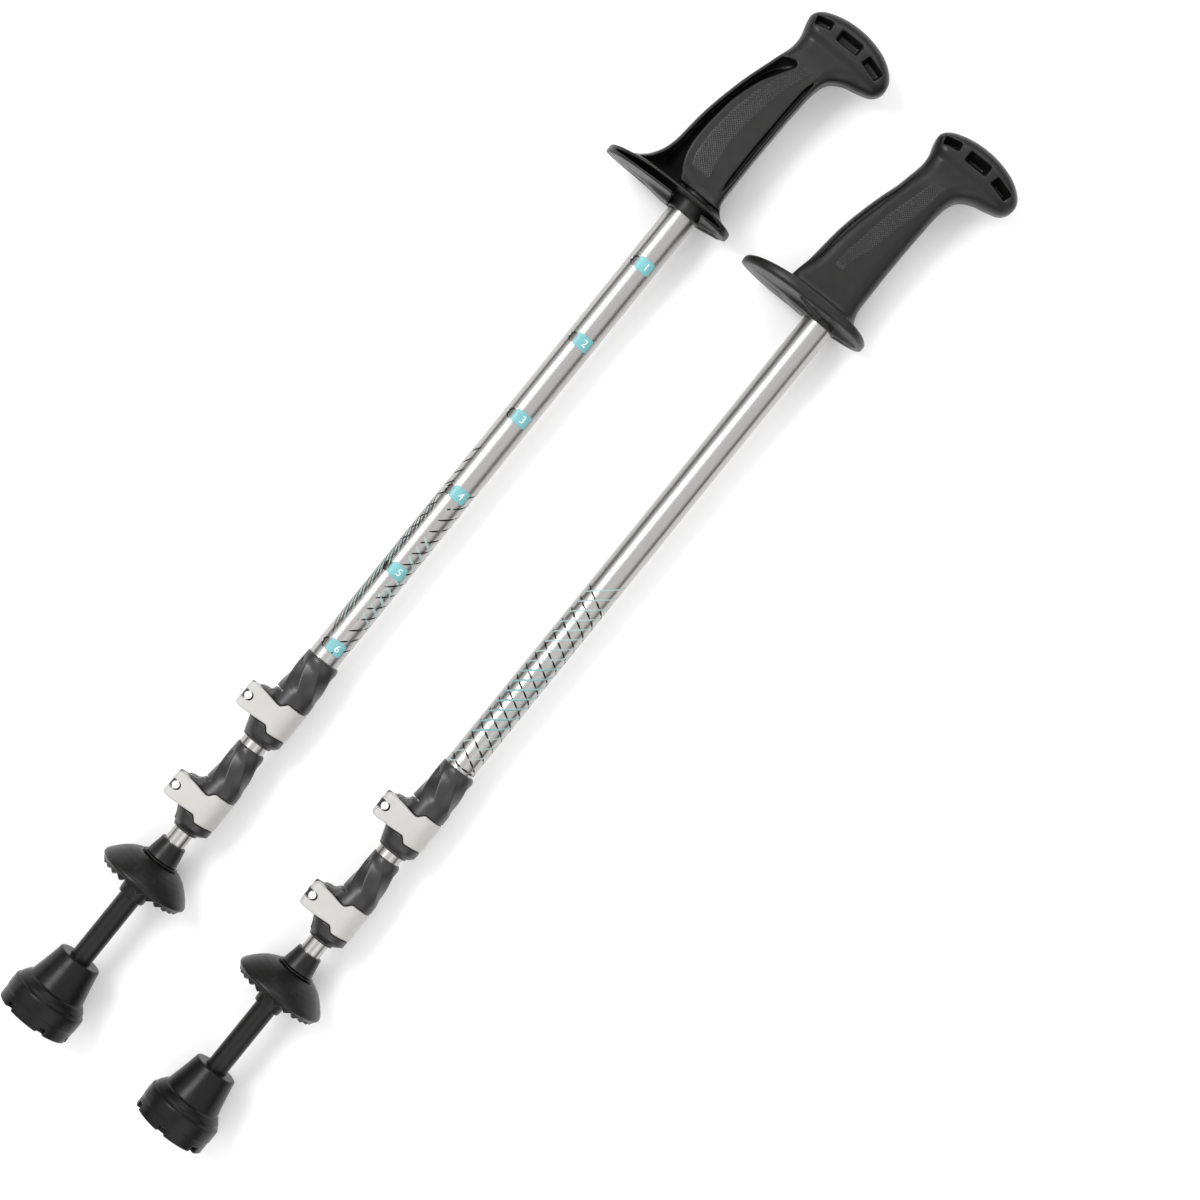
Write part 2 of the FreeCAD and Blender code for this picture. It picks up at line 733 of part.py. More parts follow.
def make_pole(pole, open_side):
    """
    Every piece of one pole. open_side is 1 where the grip's cavity and the row of holes
    face up, and -1 where the pole lies on them.
    """
    hole_side = "-hole_tilt" if open_side > 0 else "hole_tilt - 180"
    notch_turn = "-35" if open_side > 0 else "-5"
    pieces = [
        handle_shell(f"{pole}_handle", open_side),
        soft_pad(f"{pole}_grip_pad", "pad", open_side),
        soft_pad(f"{pole}_grip_patch", "patch", -open_side),
        grip_collar(f"{pole}_grip_collar"),
        tube_plug(f"{pole}_tube_plug"),
        upper_tube(f"{pole}_upper_tube", hole_side),
        middle_tube(f"{pole}_middle_tube", hole_side),
        guide_bush(f"{pole}_middle_bush", "middle_end", "middle_radius - middle_wall",
                   "upper_radius - upper_wall"),
        snap_button(f"{pole}_snap_button", hole_side),
        button_spring(f"{pole}_button_spring", hole_side),
        lower_tube(f"{pole}_lower_tube"),
        guide_bush(f"{pole}_lower_bush", "lower_end", "lower_radius - lower_wall",
                   "middle_radius - middle_wall"),
        tip_shank(f"{pole}_tip_shank"),
        basket(f"{pole}_basket"),
        basket_ring(f"{pole}_basket_ring"),
        carbide_tip(f"{pole}_carbide_tip"),
        rubber_boot(f"{pole}_rubber_boot", notch_turn),
        boot_washer(f"{pole}_boot_washer"),
    ]
    pieces += make_clamp(pole, "upper", "upper_clamp_begin", "middle_radius", "upper_radius")
    pieces += make_clamp(pole, "lower", "lower_clamp_begin", "lower_radius", "middle_radius")
    shift = f"(pole_spacing - ledge_reach + head_reach) / 2 - {0 if open_side > 0 else 1} * pole_spacing"
    for piece in pieces:
        piece.setExpression("Placement.Base.x", bound("-pole_length / 2"))
        piece.setExpression("Placement.Base.y", bound(shift))
        piece.setExpression("Placement.Base.z", bound("axis_height"))
    return pieces


def check_and_export(pieces):
    """Stop on any failed object, then write one STEP file per piece."""
    for item in DOCUMENT.Objects:
        if "Invalid" in item.State or "Error" in item.State:
            raise RuntimeError(f"{item.Name}: {item.State}")
    for piece in pieces:
        if piece.Shape.isNull() or not piece.Shape.isValid():
            raise RuntimeError(f"{piece.Label}: no valid shape")
        if len(piece.Shape.Solids) != 1:
            raise RuntimeError(f"{piece.Label}: {len(piece.Shape.Solids)} solids")
    os.makedirs("parts", exist_ok=True)
    for piece in pieces:
        piece.Shape.exportStep(f"parts/{piece.Label}.step")


fill_sheet()
ALL_PIECES = []
for pole_name, cavity_side in POLES.items():
    ALL_PIECES += make_pole(pole_name, cavity_side)
DOCUMENT.recompute()
check_and_export(ALL_PIECES)
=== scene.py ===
import json
import math

import bmesh
import bpy
import numpy as np
from mathutils import Matrix, Vector


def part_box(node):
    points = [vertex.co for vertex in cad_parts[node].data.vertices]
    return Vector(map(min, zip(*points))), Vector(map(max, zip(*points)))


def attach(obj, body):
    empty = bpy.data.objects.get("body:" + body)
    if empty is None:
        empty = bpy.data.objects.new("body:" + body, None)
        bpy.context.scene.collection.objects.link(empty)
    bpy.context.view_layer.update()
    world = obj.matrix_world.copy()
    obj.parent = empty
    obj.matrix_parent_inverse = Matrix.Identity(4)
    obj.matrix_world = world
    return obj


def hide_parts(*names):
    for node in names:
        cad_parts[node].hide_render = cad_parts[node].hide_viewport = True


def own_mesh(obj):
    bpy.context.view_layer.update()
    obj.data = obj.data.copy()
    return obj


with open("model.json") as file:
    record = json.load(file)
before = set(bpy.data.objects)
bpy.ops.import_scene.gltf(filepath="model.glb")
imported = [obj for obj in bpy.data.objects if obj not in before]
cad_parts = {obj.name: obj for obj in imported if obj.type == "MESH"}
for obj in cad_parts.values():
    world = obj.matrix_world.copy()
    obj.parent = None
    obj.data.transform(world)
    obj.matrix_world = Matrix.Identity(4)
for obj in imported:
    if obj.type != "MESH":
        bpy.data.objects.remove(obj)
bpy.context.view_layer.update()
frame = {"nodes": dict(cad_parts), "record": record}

# Sizes are in millimetres in each pole's own frame, as the part's source has them:
# u runs along the pole from the sole of its boot, v across it, and w up from its axis.
MM = 0.001
SIDES = ("left", "right")
CLAMP_BEGIN = {"upper": 195.5, "lower": 132.6}
TUBE_RADIUS = {"upper": 9.0, "middle": 7.5, "lower": 6.0}
CLAMP_TUBES = {"upper": ("middle", "upper"), "lower": ("lower", "middle")}


def pole_origin(side):
    """Where a pole's own frame starts, in the row frame."""
    tube_low, tube_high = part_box(f"{side}_upper_tube")
    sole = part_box(f"{side}_rubber_boot")[0][0]
    return Vector((sole, (tube_low[1] + tube_high[1]) / 2, (tube_low[2] + tube_high[2]) / 2))


ORIGIN = {side: pole_origin(side) for side in SIDES}


# ------------------------------------------------------------------ camera and light

ROLL = math.radians(51)  # the poles run up and to the right in the picture
DISTANCE = 1.485
MIDDLE_OF_VIEW = (0.0209, -0.0554)  # the point of the floor that the camera looks at
FLOOR_HALF = 30.0  # so wide that its edge isn't seen from low down
# how far up a direction points, from 0 to 1, and how strongly light comes from there
LOW_SKY = (0.1, 0.12)
HIGH_SKY = (0.6, 1.2)


def make_camera():
    """Camera straight above, rolled so that the poles run diagonally."""
    data = bpy.data.cameras.new("camera")
    data.lens = 81
    data.sensor_width = 36
    camera = bpy.data.objects.new("camera", data)
    bpy.context.collection.objects.link(camera)
    camera.location = (*MIDDLE_OF_VIEW, ORIGIN["left"].z + DISTANCE)
    camera.rotation_euler = (0, 0, -ROLL)
    bpy.context.scene.camera = camera


def make_light(name, place, power, size):
    """Square soft light that looks at the middle of the poles, in watts and metres."""
    data = bpy.data.lights.new(name, "AREA")
    data.energy = power
    data.size = size
    light = bpy.data.objects.new(name, data)
    light.location = place
    light.rotation_euler = (-Vector(place)).to_track_quat("-Z", "Y").to_euler()
    bpy.context.collection.objects.link(light)


def make_surroundings():
    """White surroundings that are bright above and dim at the sides."""
    bpy.context.scene.view_settings.view_transform = "Standard"
    world = bpy.data.worlds.new("studio")
    world.use_nodes = True
    background = world.node_tree.nodes["Background"]
    background.inputs["Color"].default_value = (1, 1, 1, 1)
    way = world.node_tree.nodes.new("ShaderNodeTexCoord")
    parts = world.node_tree.nodes.new("ShaderNodeSeparateXYZ")
    height = world.node_tree.nodes.new("ShaderNodeMapRange")
    height.interpolation_type = "SMOOTHSTEP"
    height.inputs["From Min"].default_value, height.inputs["To Min"].default_value = LOW_SKY
    height.inputs["From Max"].default_value, height.inputs["To Max"].default_value = HIGH_SKY
    world.node_tree.links.new(way.outputs["Generated"], parts.inputs["Vector"])
    world.node_tree.links.new(parts.outputs["Z"], height.inputs["Value"])
    world.node_tree.links.new(height.outputs["Result"], background.inputs["Strength"])
    bpy.context.scene.world = world


def make_floor():
    """Pale floor that takes the shadows; it isn't part of the object."""
    mesh = bpy.data.meshes.new("floor")
    half = FLOOR_HALF
    mesh.from_pydata([(-half, -half, 0), (half, -half, 0), (half, half, 0), (-half, half, 0)],
                     [], [(0, 1, 2, 3)])
    floor = bpy.data.objects.new("floor", mesh)
    bpy.context.collection.objects.link(floor)
    material = bpy.data.materials.new("floor_white")
    material.use_nodes = True
    shader = material.node_tree.nodes["Principled BSDF"]
    shader.inputs["Base Color"].default_value = (0.93, 0.925, 0.925, 1)
    shader.inputs["Roughness"].default_value = 0.9
    shader.inputs["Specular IOR Level"].default_value = 0.1
    mesh.materials.append(material)


make_camera()
make_surroundings()
make_floor()
make_light("key", (0.1, 0.85, 1.5), 15, 0.6)
make_light("fill", (-0.9, -0.9, 1.4), 4, 1.2)
make_light("back", (1.2, 0.2, 1.0), 4, 0.8)


# ------------------------------------------------------------------ shapes as distances

def blend_min(a, b, soft):
    """Union of two distances with a fillet."""
    share = np.clip(0.5 + 0.5 * (b - a) / soft, 0, 1)
    return b + (a - b) * share - soft * share * (1 - share)


def blend_max(a, b, soft):
    """Intersection of two distances with a rounded edge."""
    return -blend_min(-a, -b, soft)


def slab(value, low, high):
    """Distance to the space between two parallel planes."""
    return np.maximum(low - value, value - high)


def rounded_box(u, v, w, centre, half, radius):
    """Distance to a box with rounded edges."""
    gaps = [np.abs(a - c) - h + radius for a, c, h in zip((u, v, w), centre, half)]
    outside = np.sqrt(sum(np.maximum(gap, 0) ** 2 for gap in gaps))
    return outside + np.minimum(np.maximum(np.maximum(gaps[0], gaps[1]), gaps[2]), 0) - radius


def capsule(u, v, w, start, end, radius):
    """Distance to a rounded bar between two points."""
    start = np.array(start, float)
    along = np.array(end, float) - start
    length = along.dot(along)
    share = ((u - start[0]) * along[0] + (v - start[1]) * along[1] + (w - start[2]) * along[2])
    share = np.clip(share / length, 0, 1)
    gap = [p - start[i] - share * along[i] for i, p in enumerate((u, v, w))]
    return np.sqrt(gap[0] ** 2 + gap[1] ** 2 + gap[2] ** 2) - radius


def smooth_loop(points, per_span=8):
    """Closed curve through the points."""
    points = np.array(points, float)
    before, after = np.roll(points, 1, 0), np.roll(points, -1, 0)
    further = np.roll(points, -2, 0)
    spans = []
    for share in np.arange(per_span) / per_span:
        spans.append(0.5 * (
            2 * points + (after - before) * share
            + (2 * before - 5 * points + 4 * after - further) * share ** 2
            + (3 * points - before - 3 * after + further) * share ** 3
        ))
    return np.stack(spans, 1).reshape(-1, 2)


class Outline:
    """Signed distance to a closed flat curve, sampled on a fine grid."""

    def __init__(self, curve, step=0.5, margin=14.0):
        curve = np.array(curve, float)
        self.step = step
        self.low = curve.min(0) - margin
        counts = np.ceil((curve.max(0) + margin - self.low) / step).astype(int) + 2
        x = self.low[0] + step * np.arange(counts[0])[:, None]
        y = self.low[1] + step * np.arange(counts[1])[None, :]
        nearest = np.full(counts, 1e9)
        inside = np.zeros(counts, bool)
        for a, b in zip(curve, np.roll(curve, -1, 0)):
            run = b - a
            share = np.clip(((x - a[0]) * run[0] + (y - a[1]) * run[1]) / max(run.dot(run), 1e-12), 0, 1)
            gap = (x - a[0] - share * run[0]) ** 2 + (y - a[1] - share * run[1]) ** 2
            nearest = np.minimum(nearest, gap)
            if a[1] != b[1]:
                crossing = a[0] + (y - a[1]) / (b[1] - a[1]) * run[0]
                inside ^= ((a[1] > y) != (b[1] > y)) & (x < crossing)
        self.field = np.sqrt(nearest) * np.where(inside, -1, 1)

    def __call__(self, x, y):
        place = [(x - self.low[0]) / self.step, (y - self.low[1]) / self.step]
        top = np.array(self.field.shape) - 1.001
        over = sum(np.maximum(p - t, 0) + np.maximum(-p, 0) for p, t in zip(place, top)) * self.step
        place = [np.clip(p, 0, t) for p, t in zip(place, top)]
        cell = [np.floor(p).astype(int) for p in place]
        a, b = place[0] - cell[0], place[1] - cell[1]
        f = self.field
        near = f[cell[0], cell[1]] * (1 - b) + f[cell[0], cell[1] + 1] * b
        far = f[cell[0] + 1, cell[1]] * (1 - b) + f[cell[0] + 1, cell[1] + 1] * b
        return near * (1 - a) + far * a + over


def surface(distance, low, high, step):
    """Corners and quads of the closed surface where the distance is zero (surface nets)."""
    low = np.array(low, float)
    counts = np.ceil((np.array(high, float) - low) / step).astype(int) + 1
    axes = [low[i] + step * np.arange(counts[i]) for i in range(3)]
    field = distance(*np.meshgrid(*axes, indexing="ij"))
    inside = field < 0
    cells = counts - 1
    total = np.zeros((*cells, 3))
    number = np.zeros(cells, int)
    crossings = []
    for axis in range(3):
        near = [slice(None)] * 3
        far = [slice(None)] * 3
        near[axis] = slice(0, -1)
        far[axis] = slice(1, None)
        near, far = tuple(near), tuple(far)
        cross = inside[near] != inside[far]
        crossings.append(cross)
        gap = field[near] - field[far]
        share = np.where(cross, field[near] / np.where(gap == 0, 1, gap), 0)
        others = [i for i in range(3) if i != axis]
        for first in (0, 1):
            for second in (0, 1):
                part = [slice(None)] * 3
                part[others[0]] = slice(first, first + cells[others[0]])
                part[others[1]] = slice(second, second + cells[others[1]])
                here = cross[tuple(part)]
                number += here
                total[..., axis] += np.where(here, share[tuple(part)], 0)
                total[..., others[0]] += here * first
                total[..., others[1]] += here * second
    used = number > 0
    index = np.full(cells, -1)
    index[used] = np.arange(used.sum())
    where = np.argwhere(used)
    points = low + step * (where + total[used] / number[used][:, None])

    quads = []
    for axis in range(3):
        b, c = (axis + 1) % 3, (axis + 2) % 3
        edge = np.argwhere(crossings[axis])
        edge = edge[(edge[:, b] > 0) & (edge[:, c] > 0) & (edge[:, b] < cells[b]) & (edge[:, c] < cells[c])]
        back_b, back_c = np.zeros(3, int), np.zeros(3, int)
        back_b[b] = 1
        back_c[c] = 1
        ring = [edge - back_b - back_c, edge - back_c, edge, edge - back_b]
        quad = np.stack([index[tuple(corner.T)] for corner in ring], 1)
        outward = inside[tuple(edge.T)]
        quad[~outward] = quad[~outward][:, ::-1]
        quads.append(quad)
    return settle(distance, points, step), np.concatenate(quads)


def settle(distance, points, step, rounds=3):
    """Move corners onto the surface, by at most a fraction of a grid step."""
    start = points.copy()
    tiny = step * 0.05
    for _ in range(rounds):
        value = distance(*points.T)
        slope = np.stack([
            (distance(*(points + tiny * axis).T) - value) / tiny for axis in np.eye(3)
        ], 1)
        move = -(value / np.maximum((slope ** 2).sum(1), 0.05))[:, None] * slope
        points = points + move
        points = start + np.clip(points - start, -step * 0.6, step * 0.6)
    return points


# ------------------------------------------------------------------ pieces

def mesh_from(name, points, faces):
    """Smooth mesh in metres from corners in a pole's frame."""
    mesh = bpy.data.meshes.new(name)
    mesh.from_pydata([tuple(p) for p in np.asarray(points) * MM], [], [tuple(map(int, f)) for f in faces])
    mesh.update()
    mesh.shade_smooth()
    return mesh


def place(name, points, faces, side, body, material, slot, stands_for=(), turned=False):
    """One visible piece in its pole, riding on a body. turned mirrors it top to bottom."""
    points = np.array(points, float)
    if turned:
        points = points * (1, 1, -1)
        faces = [tuple(reversed([int(i) for i in face])) for face in faces]
    mesh = mesh_from(name, points, faces)
    mesh.transform(Matrix.Translation(ORIGIN[side]))
    mesh.materials.append(material)
    piece = bpy.data.objects.new(name, mesh)
    bpy.context.collection.objects.link(piece)
    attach(piece, f"{side}_{body}")
    if stands_for:
        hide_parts(*[f"{side}_{node}" for node in stands_for])


# ------------------------------------------------------------------ materials

def link(material, source, target):
    """Join two sockets of a material's nodes."""
    material.node_tree.links.new(source, target)


def node(material, kind, **inputs):
    """New shader node with some inputs set, by their names."""
    made = material.node_tree.nodes.new(kind)
    for name, value in inputs.items():
        made.inputs[name.replace("_", " ")].default_value = value
    return made


def scaled_noise(material, scale, detail=3.0, stretch=(1, 1, 1)):
    """Noise over the object's own coordinates, optionally stretched."""
    where = node(material, "ShaderNodeTexCoord")
    mapping = node(material, "ShaderNodeMapping", Scale=stretch)
    noise = node(material, "ShaderNodeTexNoise", Scale=scale, Detail=detail)
    link(material, where.outputs["Object"], mapping.inputs["Vector"])
    link(material, mapping.outputs["Vector"], noise.inputs["Vector"])
    return noise.outputs["Fac"]


def spread(material, value, low, high):
    """Map a noise value onto a range."""
    ramp = node(material, "ShaderNodeMapRange")
    ramp.inputs["From Min"].default_value = 0.3
    ramp.inputs["From Max"].default_value = 0.7
    ramp.inputs["To Min"].default_value = low
    ramp.inputs["To Max"].default_value = high
    link(material, value, ramp.inputs["Value"])
    return ramp.outputs["Result"]


BLOTCH = 60.0  # scale of the mottling
# a mix node's sockets for two colours, and for the colour that comes out
FIRST_COLOUR, SECOND_COLOUR = 6, 7
MIXED_COLOUR = 2


def finish_material(name, colour, rough, metallic=0.0, grain=900.0, depth=0.00002, wear=0.0,
                    stretch=(1, 1, 1), shade=0.12, specular=0.5):
    """Moulded, rubber or metal finish: mottled colour, uneven gloss, fine grain, worn edges."""
    material = bpy.data.materials.new(name)
    material.use_nodes = True
    shader = material.node_tree.nodes["Principled BSDF"]
    shader.inputs["Metallic"].default_value = metallic
    shader.inputs["Specular IOR Level"].default_value = specular

    mottle = spread(material, scaled_noise(material, BLOTCH, 4.0, stretch), 0.0, 1.0)
    mix = node(material, "ShaderNodeMix")
    mix.data_type = "RGBA"
    mix.inputs[FIRST_COLOUR].default_value = (*[c * (1 - shade) for c in colour], 1)
    mix.inputs[SECOND_COLOUR].default_value = (*[min(1, c * (1 + shade)) for c in colour], 1)
    link(material, mottle, mix.inputs[0])
    tint = mix.outputs[MIXED_COLOUR]
    if wear:
        shape = node(material, "ShaderNodeNewGeometry")
        edge = node(material, "ShaderNodeMapRange")
        edge.inputs["From Min"].default_value = 0.52
        edge.inputs["From Max"].default_value = 0.62
        edge.inputs["To Max"].default_value = wear
        link(material, shape.outputs["Pointiness"], edge.inputs["Value"])
        worn = node(material, "ShaderNodeMix")
        worn.data_type = "RGBA"
        worn.inputs[SECOND_COLOUR].default_value = (*[min(1, c * 2.2 + 0.03) for c in colour], 1)
        link(material, tint, worn.inputs[FIRST_COLOUR])
        link(material, edge.outputs["Result"], worn.inputs[0])
        tint = worn.outputs[MIXED_COLOUR]
    link(material, tint, shader.inputs["Base Color"])

    gloss = spread(material, scaled_noise(material, BLOTCH * 4, 3.0, stretch), rough * 0.88, rough * 1.14)
    link(material, gloss, shader.inputs["Roughness"])
    bump = node(material, "ShaderNodeBump", Strength=1.0, Distance=depth)
    link(material, scaled_noise(material, grain, 2.0, stretch), bump.inputs["Height"])
    link(material, bump.outputs["Normal"], shader.inputs["Normal"])
    return material


TEAL = (0.14, 0.38, 0.4)
BLACK = (0.0075, 0.007, 0.0068)
MATERIALS = {
    "grip_plastic": finish_material("grip_plastic", BLACK, 0.36, grain=1500, depth=0.00004, wear=0.2,
                                    specular=0.3),
    "grip_rubber": finish_material("grip_rubber", BLACK, 0.4, grain=2200, depth=0.00002, wear=0.3,
                                   specular=0.4),
    "clamp_plastic": finish_material("clamp_plastic", (0.019, 0.018, 0.018), 0.34, grain=1400,
                                     depth=0.00002, wear=0.2, specular=0.42),
    "tip_plastic": finish_material("tip_plastic", BLACK, 0.34, grain=1300, depth=0.00002, wear=0.2,
                                   specular=0.22),
    "boot_rubber": finish_material("boot_rubber", (0.005, 0.005, 0.005), 0.3, grain=1100, depth=0.00002,
                                   wear=0.2, specular=0.18),
    "lever_plastic": finish_material("lever_plastic", (0.42, 0.412, 0.4), 0.4, grain=1600,
                                     depth=0.00001, shade=0.03),
    "inner_plastic": finish_material("inner_plastic", (0.3, 0.3, 0.3), 0.5),
    "steel": finish_material("steel", (0.78, 0.78, 0.77), 0.25, metallic=1.0, grain=2500, depth=0.000004,
                             shade=0.05),
    "hard_metal": finish_material("hard_metal", (0.35, 0.35, 0.36), 0.35, metallic=1.0, shade=0.1),
    "anodised_tube": finish_material("anodised_tube", (0.38, 0.375, 0.365), 0.25, metallic=1.0, grain=700,
                                     depth=0.000003, stretch=(0.03, 1, 1), shade=0.04),
    "print_black": finish_material("print_black", (0.004, 0.004, 0.004), 0.45, shade=0.1, specular=0.2),
    "print_teal": finish_material("print_teal", TEAL, 0.4, shade=0.05),
    "print_pale": finish_material("print_pale", (0.3, 0.42, 0.41), 0.35, shade=0.08),
    "print_mint": finish_material("print_mint", (0.17, 0.33, 0.32), 0.35, shade=0.08),
    "print_white": finish_material("print_white", (0.7, 0.71, 0.71), 0.45, shade=0.03),
}


# ------------------------------------------------------------------ handle

GRIP_CURVE = smooth_loop([
    (570, -12.6), (590, -12.3), (620, -12.1), (650, -12.8), (665, -13.9), (673.5, -17), (678.2, -24),
    (680.4, -33), (683, -40.2), (688, -43.6), (694, -43.2), (699.5, -38.8), (703.8, -32), (706.4, -24),
    (707.7, -15), (707.3, -5), (705.2, 4), (702, 10.6), (697.4, 13.9), (691.5, 13.2), (684.5, 11.3),
    (676, 11.4), (664, 14.8), (645, 20.6), (622, 25.6), (600, 27.9), (570, 29.4),
])
CAVITY_CURVE = smooth_loop([
    (577.4, 12), (583, 13.7), (588, 16.6), (595, 19.2), (605, 20.4), (620, 19.6), (635, 17.4), (650, 12.4),
    (660, 6.8), (668, 2.4), (670.8, 3.6), (669.5, 9), (664, 16), (650, 24), (620, 32), (600, 36),
    (588, 40), (577.4, 48), (576.6, 30),
])
LEDGE_CURVE = smooth_loop([
    (-4, -27.4), (10, -27.4), (24, -27.2), (35, -24.8), (44, -20), (51, -12.6), (54.6, -4), (54.6, 4),
    (51, 12.6), (44, 20), (35, 24.8), (24, 27.2), (10, 27.4), (-4, 27.4), (-15, 23.5), (-23, 15),
    (-26.8, 4), (-26.8, -4), (-23, -15), (-15, -23.5),
])
GRIP = Outline(GRIP_CURVE)
CAVITY = Outline(CAVITY_CURVE)
LEDGE = Outline(LEDGE_CURVE)
# recesses in the head: centre along and across the pole, half sizes, turn in degrees
RECESSES = [
    ((696.8, 5.2), (2.6, 4.9), 12),
    ((696.8, -12.6), (3.4, 7.2), 0),
    ((693.6, -31.0), (3.0, 6.2), -16),
]
# ribs under the ledge: the two ends of each
RIBS = [
    ((569.6, 8, -9), (571, 43, -5)),
    ((569.6, 9, 8), (571, 45, 5)),
    ((569.6, -8, -7), (571.5, -22, -3)),
    ((569.6, 2, -10), (571.5, 16, -23)),
    ((569.6, -8, 7), (571.5, -20, 9)),
]


def ease(value, low, high):
    """Smooth step from 0 to 1."""
    share = np.clip((value - low) / (high - low), 0, 1)
    return share * share * (3 - 2 * share)


def handle_distance(u, v, w):
    """Handle with its open side towards +w."""
    flat = GRIP(u, v)
    head = ease(u, 664, 688)
    depth = 12.2 - 1.5 * ease(u, 664, 681) + 2.4 * ease(u, 685, 691.5)
    edge = np.where(w > 0, 4.2 + 4.6 * head, 8.8)
    across = flat + edge
    up = np.abs(w) - depth + edge
    grip = np.minimum(np.maximum(across, up), 0) + np.hypot(np.maximum(across, 0), np.maximum(up, 0)) - edge

    middle = 573.1 - 2.2 * (np.maximum(v, 0) / 55) ** 2 + 0.07 * np.maximum(-w, 0)
    thick = 3.6 - 1.1 * ease(np.hypot(v - 14, w), 20, 44)
    ledge = blend_max(LEDGE(v, w), np.abs(u - middle) - thick, 2.4 - 1.4 * ease(w, -4, 4))
    for start, end in RIBS:
        ledge = blend_min(ledge, capsule(u, v, w, start, end, 1.9), 1.4)
    reach = 1.2 + ease(u, 570, 577) * (5 + ease(w, -6, 6) * (4 + 8 * ease(v, 0, 20)))
    whole = blend_min(grip, ledge, reach)

    side = blend_min(flat, np.maximum(np.abs(u - middle) - thick, np.abs(v) - 55), reach)
    sloping = CAVITY(u, v) + 0.9 * np.maximum(4.0 - w, 0)
    pit = np.maximum.reduce([sloping, side + 2.0, -10.2 + 12 * ease(u, 648, 670) - w])
    whole = blend_max(whole, -pit, 0.9)
    groove = np.maximum.reduce([np.abs(flat + 3.0) - 1.15 * ease(u, 588, 598) * (1 - ease(u, 660, 671)),
                                588 - u, u - 671, v + 4, 5.0 - w])
    whole = blend_max(whole, -groove, 0.8)
    wall = np.maximum.reduce([np.abs(u - 579.6) - 1.0, -24 - v, v - 12.5, 8.0 - w])
    whole = blend_max(whole, -wall, 0.9)
    swell = 0.4 + 0.8 * ease(u, 598, 620) * (1 - ease(u, 640, 662))
    slit = np.maximum.reduce([np.abs(flat + 3.3) - swell, 597 - u, u - 662, 4 - v, w + 7.6])
    whole = blend_max(whole, -slit, 0.5)
    width = np.interp(v, (-22, -14, -8, 30, 40, 50), (0.2, 1.3, 1.9, 1.9, 1.3, 0.4))
    hollow = np.maximum.reduce([np.abs(u - middle) - width, LEDGE(v, np.minimum(w, 6)) + 2.4, -4 - w,
                                11.6 - np.hypot(v, w), -21.5 - v, v - 49.5])
    mouth = np.maximum.reduce([np.abs(v - 0.4) - 9.8, 1.0 - w, u - middle - width])
    whole = blend_max(whole, -np.minimum(hollow, mouth), 0.5)
    for (centre_u, centre_v), (half_u, half_v), turn in RECESSES:
        swing = math.radians(turn)
        local_u = (u - centre_u) * math.cos(swing) + (v - centre_v) * math.sin(swing)
        local_v = -(u - centre_u) * math.sin(swing) + (v - centre_v) * math.cos(swing)
        narrow = np.clip((9.5 - np.abs(w)) * np.where(w < 0, 0.32, 0.16), 0, 2.0)
        half = (half_u - narrow, half_v - narrow, np.where(w < 0, 14.4, 12.8))
        recess = rounded_box(local_u, local_v, np.abs(w), (0, 0, 16), half, 0.9)
        whole = blend_max(whole, -recess, 0.9)
    lanyard = np.maximum(np.hypot(v + 19, w) - 1.2, np.abs(u - 573) - 8)
    whole = blend_max(whole, -lanyard, 0.5)
    radius = np.hypot(v, w)
    bore = np.minimum(np.maximum(radius - 10.52, u - 583.0), np.maximum(radius - 9.02, u - 602.0))
    return np.maximum(whole, -bore)


def knurled_patch(low_edge, high_edge, begin, end, up):
    """
    Thin closed sheet that follows the handle's face, with small diamonds on it.
    The two edges are (along, across) points; up is 1 for the open side, -1 for the other.
    """
    step = 0.36
    rows = int((end - begin) / step)
    columns = 46
    u = np.linspace(begin, end, rows)[:, None] * np.ones(columns)
    share = np.linspace(0, 1, columns)[None, :]
    bottom = np.interp(u, *zip(*low_edge))
    top = np.interp(u, *zip(*high_edge))
    v = bottom + (top - bottom) * share
    outer = np.full(u.shape, 16.0)
    inner = np.full(u.shape, 2.0)
    for _ in range(24):
        middle = (outer + inner) / 2
        within = handle_distance(u, v, up * middle) < 0
        inner = np.where(within, middle, inner)
        outer = np.where(within, outer, middle)
    along = (u - begin) / (end - begin)
    sides = np.minimum(share, 1 - share) * 7
    ends = np.minimum(along, 1 - along) * 16
    fade = np.minimum(np.minimum(sides, ends), 1)
    pitch = 1.7
    diamonds = np.abs(np.cos(math.pi * (u + v) / pitch) * np.cos(math.pi * (u - v) / pitch)) ** 0.6
    height = inner - 0.12 + (0.14 + 0.66 * diamonds) * fade
    upper = np.stack([u, v, up * height], -1).reshape(-1, 3)
    lower = np.stack([u, v, up * (inner - 0.9)], -1).reshape(-1, 3)
    points = np.concatenate([upper, lower])
    count = rows * columns
    faces = []
    for line in range(rows - 1):
        for column in range(columns - 1):
            a = line * columns + column
            quad = (a, a + columns, a + columns + 1, a + 1)
            faces.append(quad if up > 0 else quad[::-1])
            under = tuple(i + count for i in quad)
            faces.append(under[::-1] if up > 0 else under)
    rim = [line * columns for line in range(rows)]
    rim += [(rows - 1) * columns + column for column in range(1, columns)]
    rim += [line * columns + columns - 1 for line in range(rows - 2, -1, -1)]
    rim += list(range(columns - 2, 0, -1))
    for a, b in zip(rim, rim[1:] + rim[:1]):
        quad = (a, a + count, b + count, b)
        faces.append(quad[::-1] if up > 0 else quad)
    return points, faces


def shortened(mesh):
    """The right handle's mesh: a little shorter, with a lower back and no fillet at the ledge."""
    points, faces = mesh
    u, v, w = points.T
    back = 2.0 * ease(u, 580, 596) * (1 - ease(u, 656, 684)) * ease(v, 6, 18)
    corner = 0.85 * np.maximum(v - 28.2, 0) * ease(u, 577.5, 579.5)
    return np.stack([np.where(u > 580, 580 + (u - 580) * 0.94, u), v - back - corner, w], -1), faces


